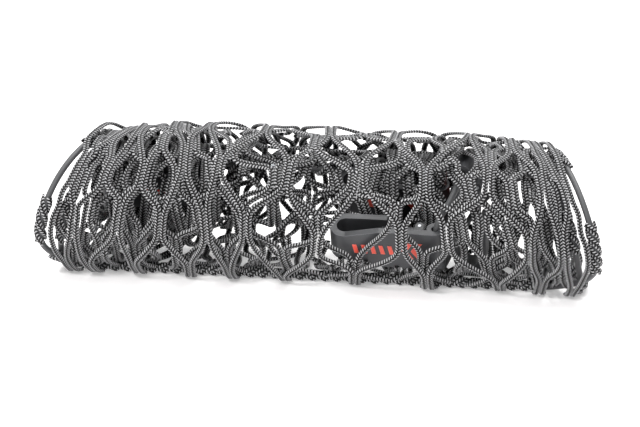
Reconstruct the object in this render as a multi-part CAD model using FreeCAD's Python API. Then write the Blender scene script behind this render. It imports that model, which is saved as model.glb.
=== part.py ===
import FreeCAD, Part
import math
import os

# Rolled elastic cargo net with four gated hooks, in millimetres.
# The net is one knitted sheet, rolled up along X. Its rim is a round shock cord
# closed by a crimped ferrule, and the hooks are threaded on that cord.
# +Z is up, -Y is the front, and the roll rests on Z = 0.

V = FreeCAD.Vector

# ---- the roll ----
net_half_length = 197.0     # half the sheet's width, along the roll
net_thickness = 3.0         # one ply of netting
edge_angle = -62.0          # where the sheet's outer edge lies, from the front
line_angle = -30.0          # the line on which the half turns meet
# distance of the ply from the roll's axis, each time it crosses that line
crossings = [59.5, 57.5, 53.5, 53.0, 14.0, 48.0, 9.0, 43.0]
inner_left = -172.0         # the inner plies are bunched up between these two
inner_right = 85.0
end_lean = 0.24             # slope of the roll's two ends
cut_spare = 1.0             # how far a cutting block reaches past what it cuts

# ---- the rim cord ----
cord_diameter = 5.0
cord_clearance = 0.3
cord_tuck = 0.4             # how far the cord sits below the outer face at the roll's ends
cord_press = 0.4            # how far it presses into the ply that it lies on
bend_share = 0.45           # share of a run that each bend takes
rim_step = 30.0             # between route points round the roll's ends
rim_proud = 5.0             # how far the first turn stands out past the second
inner_rim_x = -187.0        # the cord beside the bunched inner plies
inner_rim_drift = 7.0
inner_rim_inset = 1.0
inner_rim_stop = 330.0      # running angle left when it turns away from the plies
edge_lead = 2.6             # degrees by which it lies past the outer edge
core_lead = 10.0            # and past the inner edge
ferrule_wall = 1.2
ferrule_length = 20.0

# ---- the hooks ----
hook_length = 92.0
hook_width = 38.0
hook_wall = 5.5
hook_height = 26.0
nose_width = 26.0
nose_tip_at = 40.0          # from the eye's axis
taper_share = 0.62          # where the plate starts to narrow, as a share of its length
eye_radius = 7.0
eye_play = 0.5              # the cord's clearance in the eye, on the radius
gate_pin_radius = 1.25
gate_pin_play = 0.05
gate_pin_at = 14.0          # from the eye's axis
gate_thickness = 3.2
gate_width = 14.6
gate_overlap = 4.0          # how far the gate reaches under the nose
gate_gap = 0.3
gate_hub_radius = 3.1
gate_hub_gap = 0.4          # between the hub and the spring's coils
gate_bar_inset = 1.0        # the bar is narrower than the hub on each side
ear_margin = 0.5            # of the ears round the hub
ear_wall = 3.0
ear_gap = 0.3
spring_wire = 0.9
spring_coil_radius = 2.3
spring_turns = 3
spring_pitch = 1.15         # in wire diameters
mark_height = 0.5
hook_seat_gap = 0.6         # between hook 1's plate and the ply round it

# ---- the raised mark: chevrons, then slanting bars ----
chevron_starts = [10.0, 17.5]
chevron_width = 4.2
chevron_height = 17.0
chevron_point = 0.6         # how far the point leads, in half heights
bar_start = 33.0
bar_pitch = 7.0
bar_count = 5
bar_width = 3.4
bar_height = 9.0
bar_lean = 1.6

# ---- where things lie along the roll ----
ferrule_x = -40.0
eye_x = 93.0                # hook 1's eye
hook_1_angle = -25.0        # hook 1's plate faces this way
hook_2_x = 111.0            # hook 2's eye
hook_2_up = 38.0            # and its height over the roll's axis

axis_height = (crossings[1] + crossings[2]) / 2.0 + net_thickness / 2.0
axis_height += (crossings[1] - crossings[2]) / 2.0 * math.sin(math.radians(line_angle))


def direction(angle):
    """Unit vector in the YZ plane, 0 at the front and 90 at the top."""
    a = math.radians(angle)
    return V(0, -math.cos(a), math.sin(a))


def half_turn(index):
    """Centre and radius of the half turn that starts at crossing index."""
    near = crossings[index]
    far = crossings[index + 1]
    side = 1.0 if index % 2 == 0 else -1.0
    centre = V(0, 0, axis_height) + direction(line_angle) * (side * (near - far) / 2.0)
    return centre, (near + far) / 2.0


def stations(start, end):
    """Running angles that split start..end at the line where half turns meet."""
    angles = [start]
    crossing = line_angle
    while crossing <= start:
        crossing += 180.0
    while crossing < end:
        angles.append(crossing)
        crossing += 180.0
    angles.append(end)
    return angles


def arc_chain(start, end, inset):
    """Tangent arcs along the ply from start to end."""
    edges = []
    angles = stations(start, end)
    for a, b in zip(angles, angles[1:]):
        middle = (a + b) / 2.0
        centre, radius = half_turn(max(int((middle - line_angle) // 180), 0))
        points = [centre + direction(t) * (radius - inset) for t in (a, middle, b)]
        edges.append(Part.Arc(*points).toShape())
    return edges


def ply(start, end, left, right):
    """A stretch of the rolled sheet as one closed solid."""
    outer = arc_chain(start, end, -net_thickness / 2.0)
    inner = arc_chain(start, end, net_thickness / 2.0)
    first = Part.LineSegment(inner[0].valueAt(inner[0].FirstParameter),
                             outer[0].valueAt(outer[0].FirstParameter)).toShape()
    last = Part.LineSegment(outer[-1].valueAt(outer[-1].LastParameter),
                            inner[-1].valueAt(inner[-1].LastParameter)).toShape()
    wire = Part.Wire(Part.__sortEdges__([first] + outer + [last] + inner))
    face = Part.Face(wire)
    face.translate(V(left, 0, 0))
    return face.extrude(V(right - left, 0, 0))


def end_cutter(side):
    """A large block beyond the leaning end of the roll."""
    size = 2.0 * net_half_length
    block = Part.makeBox(size, size, size, V(0, -size / 2.0, -size / 2.0))
    normal = V(side, end_lean, end_lean)
    block.Placement = FreeCAD.Placement(V(side * net_half_length, 0, axis_height),
                                        FreeCAD.Rotation(V(1, 0, 0), normal))
    return block


def end_x(y, z, side):
    """Where the leaning end of the roll lies at a place in its section."""
    return side * (net_half_length - end_lean * (y + z - axis_height))


def outer_ply(start, end):
    """A full-width ply, cut at the leaning ends."""
    reach = net_half_length + crossings[0]
    solid = ply(start, end, -reach, reach)
    solid = solid.cut(end_cutter(1.0))
    return solid.cut(end_cutter(-1.0)).Solids[0]


# ---- the cord's path ----

def path_edges(points):
    """Straight runs joined by tangent arcs through a list of route points."""
    corners = []
    for before, here, after in zip(points, points[1:], points[2:]):
        arriving = (here - before).normalize()
        leaving = (after - here).normalize()
        turn = arriving.getAngle(leaving)
        run = min((here - before).Length, (after - here).Length)
        back = bend_share * run
        start = here - arriving * back
        end = here + leaving * back
        radius = back / math.tan(turn / 2.0)
        bisector = (leaving - arriving).normalize()
        centre = here + bisector * (radius / math.cos(turn / 2.0))
        middle = centre - bisector * radius
        corners.append((start, middle, end, radius, math.degrees(turn)))
    edges = []
    place = points[0]
    for start, middle, end, radius, turn in corners:
        edges.append(Part.LineSegment(place, start).toShape())
        edges.append(Part.Arc(start, middle, end).toShape())
        place = end
    edges.append(Part.LineSegment(place, points[-1]).toShape())
    return edges, corners


def tube(points, name):
    """The cord's solid, with its length and bend radii printed."""
    edges, corners = path_edges(points)
    path = Part.Wire(edges)
    first = edges[0]
    heading = first.tangentAt(first.FirstParameter)
    ring = Part.Wire(Part.makeCircle(cord_diameter / 2.0, points[0], heading))
    solid = path.makePipeShell([ring], True, False)
    if solid.Volume < 0:
        solid.reverse()
    section = math.pi * cord_diameter ** 2 / 4.0
    print(name, "length", round(path.Length, 1), "volume ratio",
          round(solid.Volume / (section * path.Length), 4))
    print(name, "bend radii", [round(c[3], 1) for c in corners])
    print(name, "turns", [round(c[4]) for c in corners])
    return solid


# The rim cord lies against the ends of the plies, flush with their outer faces.
rim_inset = (cord_diameter - net_thickness) / 2.0 + cord_tuck
rim_gap = cord_diameter / 2.0 + cord_clearance
core_centre, core_radius = half_turn(len(crossings) - 2)
outer_end = line_angle + 540.0      # running angle where the full-width plies stop
inner_end = line_angle + 180.0 * (len(crossings) - 1)


def section(x, y, z):
    """A point given by its place in the roll's section, from the roll's axis."""
    return V(x, y, axis_height + z)


def rim_point(angle, side):
    """A route point on a leaning end of the full-width plies."""
    share = min(max((outer_end - 180.0 - angle) / 180.0, 0.0), 1.0)
    index = min(max(int((angle - line_angle) // 180), 0), len(crossings) - 2)
    centre, radius = half_turn(index)
    reach = (radius - rim_inset) / math.cos(math.radians(rim_step / 2.0))
    p = centre + direction(angle) * reach
    return V(end_x(p.y, p.z, side) + side * (rim_gap + rim_proud * share), p.y, p.z)


def inner_edge(x, dy, dz):
    """A point of the cord along the sheet's inner edge, in the hollow core."""
    p = core_centre + direction(inner_end + core_lead) * (core_radius - inner_rim_inset)
    return V(x, p.y + dy, p.z + dz)


def outer_edge(x, lift):
    """A point of the cord along the sheet's outer edge, on the second ply."""
    centre, radius = half_turn(1)
    reach = radius + (net_thickness + cord_diameter) / 2.0 - cord_press + lift
    p = centre + direction(edge_angle - edge_lead) * reach
    return V(x, p.y, p.z)


def cord_route():
    """The rim cord's route, from one side of the ferrule round to the other."""
    route = [
        inner_edge(ferrule_x + 0.5, 0.0, 0.0),
        inner_edge(20.0, -0.5, -0.8),
        inner_edge(62.0, 0.3, 0.4),
        # out of the core, up over it and down through the eye of hook 3
        section(84.0, 38.5, 20.5),
        section(94.0, 34.0, 34.5),
        section(95.0, 22.0, 43.5),
        section(94.0, 7.6, 46.9),
        section(92.5, -1.4, 39.4),
        section(92.0, -3.4, 27.9),
        section(92.0, 22.1, -16.3),
        section(92.5, 31.5, -20.2),
        section(94.0, 41.3, -17.6),
        section(97.0, 47.3, -9.0),
        section(101.0, 47.5, 5.0),
        # up the back wall and through the eye of hook 2
        section(107.0, 43.0, 20.0),
        section(hook_2_x, 28.0, hook_2_up),
        section(hook_2_x, -28.0, hook_2_up),
        section(104.0, -43.0, 21.0),
        # down through the eye of hook 1
        section(93.0, -47.2, 5.4),
        section(93.0, -25.7, -40.7),
        section(95.0, -5.0, -47.5),
        section(98.0, 19.0, -43.5),
        # up the back wall to the end of the full-width plies
        section(107.0, 38.5, -28.0),
        section(120.0, 47.0, -7.0),
        section(142.0, 46.5, 11.0),
        section(165.0, 43.5, 19.0),
        section(180.5, 35.0, 31.5),
    ]
    angle = outer_end - rim_step
    while angle > edge_angle + rim_step:
        route.append(rim_point(angle, 1.0))
        angle -= rim_step
    route += [
        outer_edge(195.0, 0.1),
        outer_edge(160.0, 0.0),
        outer_edge(104.0, 0.2),
        outer_edge(42.0, 0.0),
        outer_edge(-20.0, 0.15),
        outer_edge(-84.0, 0.0),
        outer_edge(-146.0, 0.2),
        outer_edge(-195.0, 0.1),
    ]
    angle += rim_step
    while angle <= outer_end:
        route.append(rim_point(angle, -1.0))
        angle += rim_step
    # the bunched inner plies, then up through the eye of hook 4 and into the core
    angle = outer_end + rim_step
    while angle <= inner_end - inner_rim_stop:
        index = int((angle - line_angle) // 180)
        centre, radius = half_turn(index)
        reach = (radius - inner_rim_inset) / math.cos(math.radians(rim_step / 2.0))
        p = centre + direction(angle) * reach
        share = (angle - outer_end) / (inner_end - inner_rim_stop - outer_end)
        route.append(V(inner_rim_x + inner_rim_drift * share, p.y, p.z))
        angle += rim_step
    route += [
        section(-179.5, 47.5, -8.5),
        section(-179.0, 41.3, -17.6),
        section(-179.0, 31.5, -20.2),
        section(-179.0, 22.1, -16.3),
        section(-179.0, -3.4, 27.9),
        section(-179.5, -1.4, 39.4),
        section(-181.0, 7.6, 46.9),
        section(-182.0, 22.0, 43.5),
        section(-181.0, 34.0, 34.5),
        section(-171.0, 38.5, 20.5),
        inner_edge(-146.0, 0.2, 0.3),
        inner_edge(-100.0, -0.4, -0.6),
        inner_edge(ferrule_x - 0.5, 0.0, 0.0),
    ]
    return route


# ---- the hooks, each in its own frame ----
# X runs from the eye towards the bend, Y across the width, Z from the plate
# towards the nose; the origin is on the eye's axis.

plate_low = -eye_radius
plate_high = plate_low + hook_wall
nose_high = plate_low + hook_height
nose_low = nose_high - hook_wall
bend_radius = hook_height / 2.0
bend_x = hook_length - eye_radius - bend_radius
gate_high = nose_low - gate_gap
gate_low = gate_high - gate_thickness
gate_pin_z = gate_high - gate_thickness / 2.0
gate_tip = nose_tip_at + gate_overlap


def box(x0, x1, y, z0, z1):
    """A block centred on the width."""
    return Part.makeBox(x1 - x0, 2.0 * y, z1 - z0, V(x0, -y, z0))


def across(radius, y0, y1, x, z):
    """A round bar across the width."""
    return Part.makeCylinder(radius, y1 - y0, V(x, y0, z), V(0, 1, 0))


def hook_outline():
    """The hook seen from its plate, wide at the eye and narrow at the bend."""
    half = hook_width / 2.0
    nose = nose_width / 2.0
    taper_start = bend_x * taper_share
    end = bend_x + bend_radius + cut_spare
    corners = [V(-eye_radius - cut_spare, -half, 0), V(taper_start, -half, 0), V(bend_x, -nose, 0),
               V(end, -nose, 0), V(end, nose, 0), V(bend_x, nose, 0), V(taper_start, half, 0),
               V(-eye_radius - cut_spare, half, 0)]
    face = Part.Face(Part.makePolygon(corners + corners[:1]))
    face.translate(V(0, 0, plate_low - cut_spare))
    return face.extrude(V(0, 0, hook_height + 2.0 * cut_spare))


def hook_body():
    """Plate, eye, bend, nose and the gate's two ears as one moulding."""
    half = hook_width / 2.0
    body = box(0.0, bend_x, half, plate_low, plate_high)
    body = body.fuse(across(eye_radius, -half, half, 0.0, 0.0))
    middle = plate_low + bend_radius
    bend = across(bend_radius, -half, half, bend_x, middle)
    wide = half + cut_spare
    bend = bend.cut(across(bend_radius - hook_wall, -wide, wide, bend_x, middle))
    bend = bend.cut(box(bend_x - 2.0 * bend_radius, bend_x, wide, plate_low - cut_spare, nose_high + cut_spare))
    body = body.fuse(bend)
    body = body.fuse(box(nose_tip_at, bend_x, half, nose_low, nose_high))
    body = body.common(hook_outline())
    trim = box(0.0, bend_x, wide, nose_low - cord_clearance, nose_high + cut_spare)
    narrow = box(0.0, bend_x, nose_width / 2.0, nose_low - cut_spare, nose_high + 2.0 * cut_spare)
    body = body.cut(trim.cut(narrow))
    inside = gate_width / 2.0 + ear_gap
    for side in (-1.0, 1.0):
        low = inside if side > 0 else -inside - ear_wall
        reach = gate_hub_radius + ear_margin
        ear = Part.makeBox(2.0 * reach, ear_wall, gate_pin_z - plate_high,
                           V(gate_pin_at - reach, low, plate_high))
        top = across(reach, low, low + ear_wall, gate_pin_at, gate_pin_z)
        body = body.fuse(ear).fuse(top)
    body = body.cut(across(cord_diameter / 2.0 + eye_play, -wide, wide, 0.0, 0.0))
    body = body.cut(across(gate_pin_radius, -half, half, gate_pin_at, gate_pin_z))
    return body.removeSplitter().Solids[0]


def gate():
    """The latch that closes the throat, with its hub round the pin."""
    half = gate_width / 2.0
    hub_end = half - spring_turns * spring_wire * spring_pitch - gate_hub_gap
    bar = box(gate_pin_at, gate_tip, half - gate_bar_inset, gate_low, gate_high)
    bar = bar.fuse(across(gate_hub_radius, -half, hub_end, gate_pin_at, gate_pin_z))
    reach = gate_hub_radius + ear_margin
    pocket = Part.makeBox(2.0 * reach, half, 2.0 * reach, V(gate_pin_at - reach, hub_end, gate_pin_z - reach))
    bar = bar.cut(pocket)
    bore = across(gate_pin_radius + gate_pin_play, -half - cut_spare, half + cut_spare, gate_pin_at, gate_pin_z)
    bar = bar.cut(bore)
    return bar.removeSplitter().Solids[0]


def gate_pin():
    """Steel pin, pressed into both ears."""
    reach = gate_width / 2.0 + ear_gap + ear_wall
    return across(gate_pin_radius, -reach, reach, gate_pin_at, gate_pin_z)


def gate_spring():
    """Closed coils of the return spring, in the pocket beside the hub."""
    half = gate_width / 2.0
    pitch = spring_wire * spring_pitch
    rings = []
    for turn in range(spring_turns):
        y = half - spring_wire / 2.0 - turn * pitch
        centre = V(gate_pin_at, y, gate_pin_z)
        rings.append(Part.makeTorus(spring_coil_radius, spring_wire / 2.0, centre, V(0, 1, 0)))
    return Part.makeCompound(rings)


def slanted_bar(x, width, height, lean):
    """One raised bar of the mark, leaning along the hook."""
    low = -height / 2.0
    corners = [V(x, low, 0), V(x + width, low, 0), V(x + width + lean, -low, 0), V(x + lean, -low, 0)]
    face = Part.Face(Part.makePolygon(corners + corners[:1]))
    face.translate(V(0, 0, plate_low - mark_height))
    return face.extrude(V(0, 0, mark_height))


def chevron(x, width, height):
    """One raised chevron of the mark."""
    half = height / 2.0
    point = half * chevron_point
    corners = [V(x, -half, 0), V(x + width, -half, 0), V(x + width + point, 0, 0),
               V(x + width, half, 0), V(x, half, 0), V(x + point, 0, 0)]
    face = Part.Face(Part.makePolygon(corners + corners[:1]))
    face.translate(V(0, 0, plate_low - mark_height))
    return face.extrude(V(0, 0, mark_height))


def mark():
    """Plain raised bars and two chevrons on the plate's outer face."""
    pieces = [chevron(start, chevron_width, chevron_height) for start in chevron_starts]
    for index in range(bar_count):
        pieces.append(slanted_bar(bar_start + bar_pitch * index, bar_width, bar_height, bar_lean))
    return Part.makeCompound(pieces)


def placement(origin, along, inward):
    """Stands a hook's own frame in the roll."""
    across_axis = inward.cross(along)
    matrix = FreeCAD.Matrix(along.x, across_axis.x, inward.x, origin.x,
                            along.y, across_axis.y, inward.y, origin.y,
                            along.z, across_axis.z, inward.z, origin.z, 0, 0, 0, 1)
    return FreeCAD.Placement(matrix)


def hook_places():
    """Where each hook's eye is, which way the hook points and which way is inward."""
    wall = half_turn(2)[1] - net_thickness / 2.0
    seat = math.sqrt(wall ** 2 - (hook_width / 2.0) ** 2) - hook_seat_gap - eye_radius
    out = direction(hook_1_angle)
    inward = direction(line_angle + 180.0)
    eye_offset = inward * (hook_height / 2.0 - eye_radius)
    eye = V(0, core_centre.y, core_centre.z) - eye_offset
    return {
        1: (section(eye_x, out.y * seat, out.z * seat), V(-1, 0, 0), out * -1.0),
        2: (section(hook_2_x, 0.0, hook_2_up), V(0, 0, -1), V(1, 0, 0)),
        3: (V(inner_right + eye_radius, eye.y, eye.z), V(-1, 0, 0), inward),
        4: (V(inner_left - eye_radius, eye.y, eye.z), V(1, 0, 0), inward),
    }


def ferrule():
    """Crimped sleeve that joins the cord's two ends."""
    start = inner_edge(ferrule_x - ferrule_length / 2.0, 0.0, 0.0)
    sleeve = Part.makeCylinder(cord_diameter / 2.0 + ferrule_wall, ferrule_length, start, V(1, 0, 0))
    bore = Part.makeCylinder(cord_diameter / 2.0, ferrule_length, start, V(1, 0, 0))
    return sleeve.cut(bore)


def save(shape, node):
    """Writes one node's STEP file."""
    shape.exportStep(os.path.join("parts", node + ".step"))
    print(node, shape.isValid(), round(shape.Volume, 1))


def main():
    os.makedirs("parts", exist_ok=True)
    save(outer_ply(edge_angle, line_angle + 360.0), "net_outer_ply")
    save(outer_ply(line_angle + 360.0, outer_end), "net_second_ply")
    save(ply(outer_end, outer_end + 360.0, inner_left, inner_right), "net_third_ply")
    save(ply(outer_end + 360.0, inner_end, inner_left, inner_right), "net_core_ply")
    save(tube(cord_route(), "rim_cord"), "rim_cord")
    save(ferrule(), "rim_cord_ferrule")
    makers = {"hook_{}_body": hook_body, "hook_{}_gate": gate, "hook_{}_gate_pin": gate_pin,
              "hook_{}_gate_spring": gate_spring, "hook_{}_mark": mark}
    for number, place in hook_places().items():
        stand = placement(*place)
        for pattern, maker in makers.items():
            shape = maker()
            shape.Placement = stand
            save(shape, pattern.format(number))
        print("hook", number, "eye at", place[0], "across", place[2].cross(place[1]))
        pin = stand.multVec(V(gate_pin_at, 0, gate_pin_z))
        print("hook", number, "gate pin at", pin)


main()
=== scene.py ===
"""Looks of a rolled elastic cargo net: knitted sheet, shock cord rim and gated hooks."""

import logging
import math
from dataclasses import dataclass, field
from enum import Enum

import bpy
import numpy as np
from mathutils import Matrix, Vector


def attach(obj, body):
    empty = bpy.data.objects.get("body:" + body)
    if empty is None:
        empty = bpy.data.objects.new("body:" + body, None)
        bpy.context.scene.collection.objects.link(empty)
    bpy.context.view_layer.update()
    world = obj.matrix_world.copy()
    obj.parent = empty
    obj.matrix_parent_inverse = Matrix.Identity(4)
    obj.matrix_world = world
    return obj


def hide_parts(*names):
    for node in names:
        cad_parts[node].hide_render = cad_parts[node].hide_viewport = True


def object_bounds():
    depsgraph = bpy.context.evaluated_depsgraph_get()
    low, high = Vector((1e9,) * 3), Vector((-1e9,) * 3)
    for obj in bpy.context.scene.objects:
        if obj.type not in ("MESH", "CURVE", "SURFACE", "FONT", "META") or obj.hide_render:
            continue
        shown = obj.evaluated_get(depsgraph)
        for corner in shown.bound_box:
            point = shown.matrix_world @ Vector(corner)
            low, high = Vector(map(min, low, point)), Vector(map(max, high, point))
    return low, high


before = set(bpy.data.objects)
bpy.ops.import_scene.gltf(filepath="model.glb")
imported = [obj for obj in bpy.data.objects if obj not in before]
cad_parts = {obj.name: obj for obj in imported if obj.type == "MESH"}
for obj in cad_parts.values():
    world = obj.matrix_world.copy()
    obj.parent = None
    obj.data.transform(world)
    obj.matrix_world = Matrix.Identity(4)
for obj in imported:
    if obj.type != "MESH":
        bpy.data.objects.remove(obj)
cad_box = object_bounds()

log = logging.getLogger("cargo_net")
logging.basicConfig(level=logging.INFO, format="%(name)s: %(message)s")

Material = bpy.types.Material
Socket = bpy.types.NodeSocket
Pair = tuple[float, float]
Point = tuple[float, float, float]
# a cord's points in metres and the outward direction at each
Strand = tuple[np.ndarray, np.ndarray]

MM = 0.001
HALF_TURN = 180.0
NET_BODY = "rolled_net"


class Side(Enum):
    """The two ends of the roll, as signs along its length."""

    LEFT = -1.0
    RIGHT = 1.0


# ------------ helpers


def linear(hex_colour: str) -> tuple[float, float, float, float]:
    """Turns an sRGB hex colour into a linear colour.

    Args:
        hex_colour: six hex digits, with or without a leading #.

    Returns:
        Linear red, green, blue and an alpha of 1.
    """
    digits = hex_colour.lstrip("#")
    values = [int(digits[i:i + 2], 16) / 255.0 for i in (0, 2, 4)]
    red, green, blue = [v / 12.92 if v <= 0.04045 else ((v + 0.055) / 1.055) ** 2.4 for v in values]
    return red, green, blue, 1.0


def in_scene(name: str, data: bpy.types.ID) -> bpy.types.Object:
    """Makes an object of some data and links it into the scene."""
    made = bpy.data.objects.new(name, data)
    bpy.context.scene.collection.objects.link(made)
    return made


def smooth_step(value: float) -> float:
    """Eases a share from 0 to 1 with flat ends, and holds it there beyond them."""
    v = min(max(value, 0.0), 1.0)
    return v * v * (3.0 - 2.0 * v)


def outward(angle: float) -> np.ndarray:
    """The direction out of the roll, in its section, at a running angle in degrees."""
    a = math.radians(angle)
    return np.array([-math.cos(a), math.sin(a)])


def run_of(line: np.ndarray, columns: int = 3) -> np.ndarray:
    """Length used up at each point of a line, counted in its first columns."""
    steps = np.linalg.norm(np.diff(line[:, :columns], axis=0), axis=1)
    return np.concatenate([[0.0], np.cumsum(steps)])


# ------------ finishes


class Graph:
    """A material's nodes, built up round one principled shader."""

    def __init__(self, name: str) -> None:
        """Makes the material and its shader.

        Args:
            name: the material's name.
        """
        self.material = bpy.data.materials.new(name)
        self.material.use_nodes = True
        self.tree = self.material.node_tree
        self.tree.nodes.clear()
        self.shader = self.add("BsdfPrincipled")
        self.add("OutputMaterial", {"Surface": self.shader.outputs["BSDF"]})

    def fill(self, node: bpy.types.Node, inputs: dict) -> None:
        """Fills a node's inputs, by name or number, with values or with sockets to link."""
        for name, value in inputs.items():
            if isinstance(value, Socket):
                self.tree.links.new(value, node.inputs[name])
            else:
                node.inputs[name].default_value = value

    def add(self, kind: str, inputs: dict | None = None, **settings: object) -> bpy.types.Node:
        """Adds a node, sets its properties and fills its inputs.

        Args:
            kind: the node's type name, without its prefix.
            inputs: input names or numbers, each with a value or a socket.
            settings: property names and their values.

        Returns:
            The new node.
        """
        node = self.tree.nodes.new("ShaderNode" + kind)
        for name, value in settings.items():
            setattr(node, name, value)
        self.fill(node, inputs or {})
        return node

    def math(self, operation: str, *values: object) -> Socket:
        """The result of a sum on values or sockets."""
        return self.add("Math", dict(enumerate(values)), operation=operation).outputs["Value"]

    def noise(self, size_mm: float, detail: float) -> Socket:
        """Noise with spots of the given size, fixed to the object."""
        place = self.add("TexCoord").outputs["Object"]
        scale = 1.0 / (size_mm * MM)
        return self.add("TexNoise", {"Vector": place, "Scale": scale, "Detail": detail}).outputs["Fac"]

    def mix(self, share: Socket, low: object, high: object) -> Socket:
        """A colour between two others."""
        mixed = self.add("Mix", {"Factor": share, "A": low, "B": high}, data_type="RGBA")
        return mixed.outputs["Result"]

    def bump(self, height: Socket, strength: float, depth_mm: float,
             **onto: Socket) -> Socket:
        """The normal of a surface raised by a height, on the plain one or onto Normal=."""
        inputs = {"Height": height, "Strength": strength, "Distance": depth_mm * MM}
        return self.add("Bump", inputs | onto).outputs["Normal"]

    def finish(self, inputs: dict) -> Material:
        """Fills the shader's own inputs and gives the material."""
        self.fill(self.shader, inputs)
        return self.material


@dataclass(frozen=True)
class KnittedPolyester:
    """Warp-knitted polyester over elastic.

    Filament polyester is smooth and a little shiny. The top of each raised stitch is painted
    pale in the base colour as a painted highlight, and the gaps between stitches as black painted
    shade.
    """

    name: str = "knitted_polyester"
    # painted highlight on each stitch's top and painted shade in the gaps between stitches; the flank
    # is the yarn's own black
    ridge_highlight: str = "#bcbcbe"
    flank: str = "#1e1e20"
    valley_shade: str = "#010101"
    # the ramp's stops, on the stitch's height plus a little fibre noise
    valley_shade_at: float = 0.48
    flank_at: float = 0.72
    ridge_highlight_at: float = 0.95
    fibre_share: float = 0.35
    # bundles of filaments; single filaments of 0.02 mm are too fine to show
    yarn_mm: float = 0.35
    fibre_depth_mm: float = 0.15
    fibre_strength: float = 0.35
    roughness: float = 0.42
    specular: float = 0.25
    sheen: float = 0.1
    sheen_roughness: float = 0.4

    def build(self) -> Material:
        """Makes the yarn's material, with painted shade between stitches and painted highlights on
        them.
        """
        graph = Graph(self.name)
        height = graph.add("Attribute", attribute_name="stitch").outputs["Fac"]
        fibre = graph.noise(self.yarn_mm, 2.0)
        mixed = graph.math("MULTIPLY_ADD", fibre, self.fibre_share, height)
        # the ramp paints highlights on the stitch tops and shade in the gaps
        ramp = graph.add("ValToRGB", {"Fac": mixed})
        low, high = ramp.color_ramp.elements
        low.position, low.color = self.valley_shade_at, linear(self.valley_shade)
        high.position, high.color = self.ridge_highlight_at, linear(self.ridge_highlight)
        ramp.color_ramp.elements.new(self.flank_at).color = linear(self.flank)
        return graph.finish({
            "Base Color": ramp.outputs["Color"], "Roughness": self.roughness,
            "Normal": graph.bump(fibre, self.fibre_strength, self.fibre_depth_mm),
            "Specular IOR Level": self.specular, "Sheen Weight": self.sheen,
            "Sheen Roughness": self.sheen_roughness})


@dataclass(frozen=True)
class BraidedCover:
    """Tightly braided polyester cover of a shock cord.

    Sixteen flat carriers cross over and under, which gives a dark grey, satin surface
    with a faint lattice, smoother to the eye than the knitted cords.
    """

    name: str = "braided_cover"
    light: str = "#57585a"
    dark: str = "#2c2c2e"
    strands: int = 16
    lay_mm: float = 14.0
    braid_depth_mm: float = 0.12
    braid_strength: float = 0.5
    roughness: float = 0.5
    sheen: float = 0.2

    def build(self) -> Material:
        """Makes the cover's material with a fine crossing braid along the cord."""
        graph = Graph(self.name)
        uv = graph.add("UVMap", uv_map="cord").outputs["UV"]
        split = graph.add("SeparateXYZ", {"Vector": uv}).outputs
        waves = []
        for sign in (1.0, -1.0):
            lead = graph.math("MULTIPLY_ADD", split["X"], sign / (self.lay_mm * MM), split["Y"])
            waves.append(graph.math("SINE", graph.math("MULTIPLY", lead, math.pi * self.strands)))
        weave = graph.math("MULTIPLY", *waves)
        share = graph.math("MULTIPLY_ADD", weave, 0.5, 0.5)
        return graph.finish({
            "Base Color": graph.mix(share, linear(self.dark), linear(self.light)),
            "Normal": graph.bump(share, self.braid_strength, self.braid_depth_mm),
            "Roughness": self.roughness, "Sheen Weight": self.sheen})


@dataclass(frozen=True)
class MouldedPlastic:
    """Injection-moulded glass-filled nylon from a spark-eroded tool.

    The tool leaves a fine matt grain, so highlights are broad and soft. The edges are painted
    paler, a painted highlight where the rounded edges catch the light. The grain is drawn at 0.45 mm,
    coarser than such tools leave, so that it shows.
    """

    name: str
    colour: str
    shade: str
    # the pale colour painted along the edges, a painted highlight
    edge_highlight: str
    roughness: float = 0.42
    roughness_below: float = 0.06
    roughness_above: float = 0.08
    cloud_mm: float = 18.0
    grain_mm: float = 0.45
    grain_depth_mm: float = 0.05
    grain_strength: float = 0.3
    edge_mm: float = 0.9
    edge_samples: int = 6
    edge_turn: float = 0.75

    def build(self) -> Material:
        """Makes the plastic's material: faint clouds of tone, a painted highlight along the edges and a
        fine grain.
        """
        graph = Graph(self.name)
        cloud = graph.noise(self.cloud_mm, 3.0)
        rough = graph.add("MapRange", {
            "Value": cloud, "To Min": self.roughness - self.roughness_below,
            "To Max": self.roughness + self.roughness_above})
        edge = graph.add("Bevel", {"Radius": self.edge_mm * MM}, samples=self.edge_samples)
        edge_normal = edge.outputs["Normal"]
        flat = graph.add("NewGeometry").outputs["True Normal"]
        facing = graph.add("VectorMath", {0: edge_normal, 1: flat}, operation="DOT_PRODUCT")
        # painted highlight: the base colour turns pale along the edges, where the bevelled normal leans
        # away from the flat one
        edge_highlight_share = graph.add("MapRange", {
            "Value": facing.outputs["Value"], "From Min": self.edge_turn, "From Max": 1.0,
            "To Min": 1.0, "To Max": 0.0})
        colour = graph.mix(cloud, linear(self.shade), linear(self.colour))
        grain = graph.noise(self.grain_mm, 3.0)
        return graph.finish({
            "Base Color": graph.mix(edge_highlight_share.outputs["Result"], colour, linear(self.edge_highlight)),
            "Roughness": rough.outputs["Result"],
            "Normal": graph.bump(grain, self.grain_strength, self.grain_depth_mm, Normal=edge_normal)})


@dataclass(frozen=True)
class ZincedSteel:
    """Drawn steel wire and tube with a bright zinc plating.

    The plating is a pale metal whose gloss is broken by soft cloudy patches.
    """

    name: str = "zinced_steel"
    colour: str = "#b9bbbf"
    dull: str = "#8d9094"
    cloud_mm: float = 3.0
    cloud_depth_mm: float = 0.03
    cloud_strength: float = 0.15
    roughness: float = 0.33

    def build(self) -> Material:
        """Makes the plated steel's material, lightly clouded."""
        graph = Graph(self.name)
        cloud = graph.noise(self.cloud_mm, 4.0)
        return graph.finish({
            "Base Color": graph.mix(cloud, linear(self.dull), linear(self.colour)),
            "Normal": graph.bump(cloud, self.cloud_strength, self.cloud_depth_mm),
            "Metallic": 1.0, "Roughness": self.roughness})


# ------------ the roll


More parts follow.
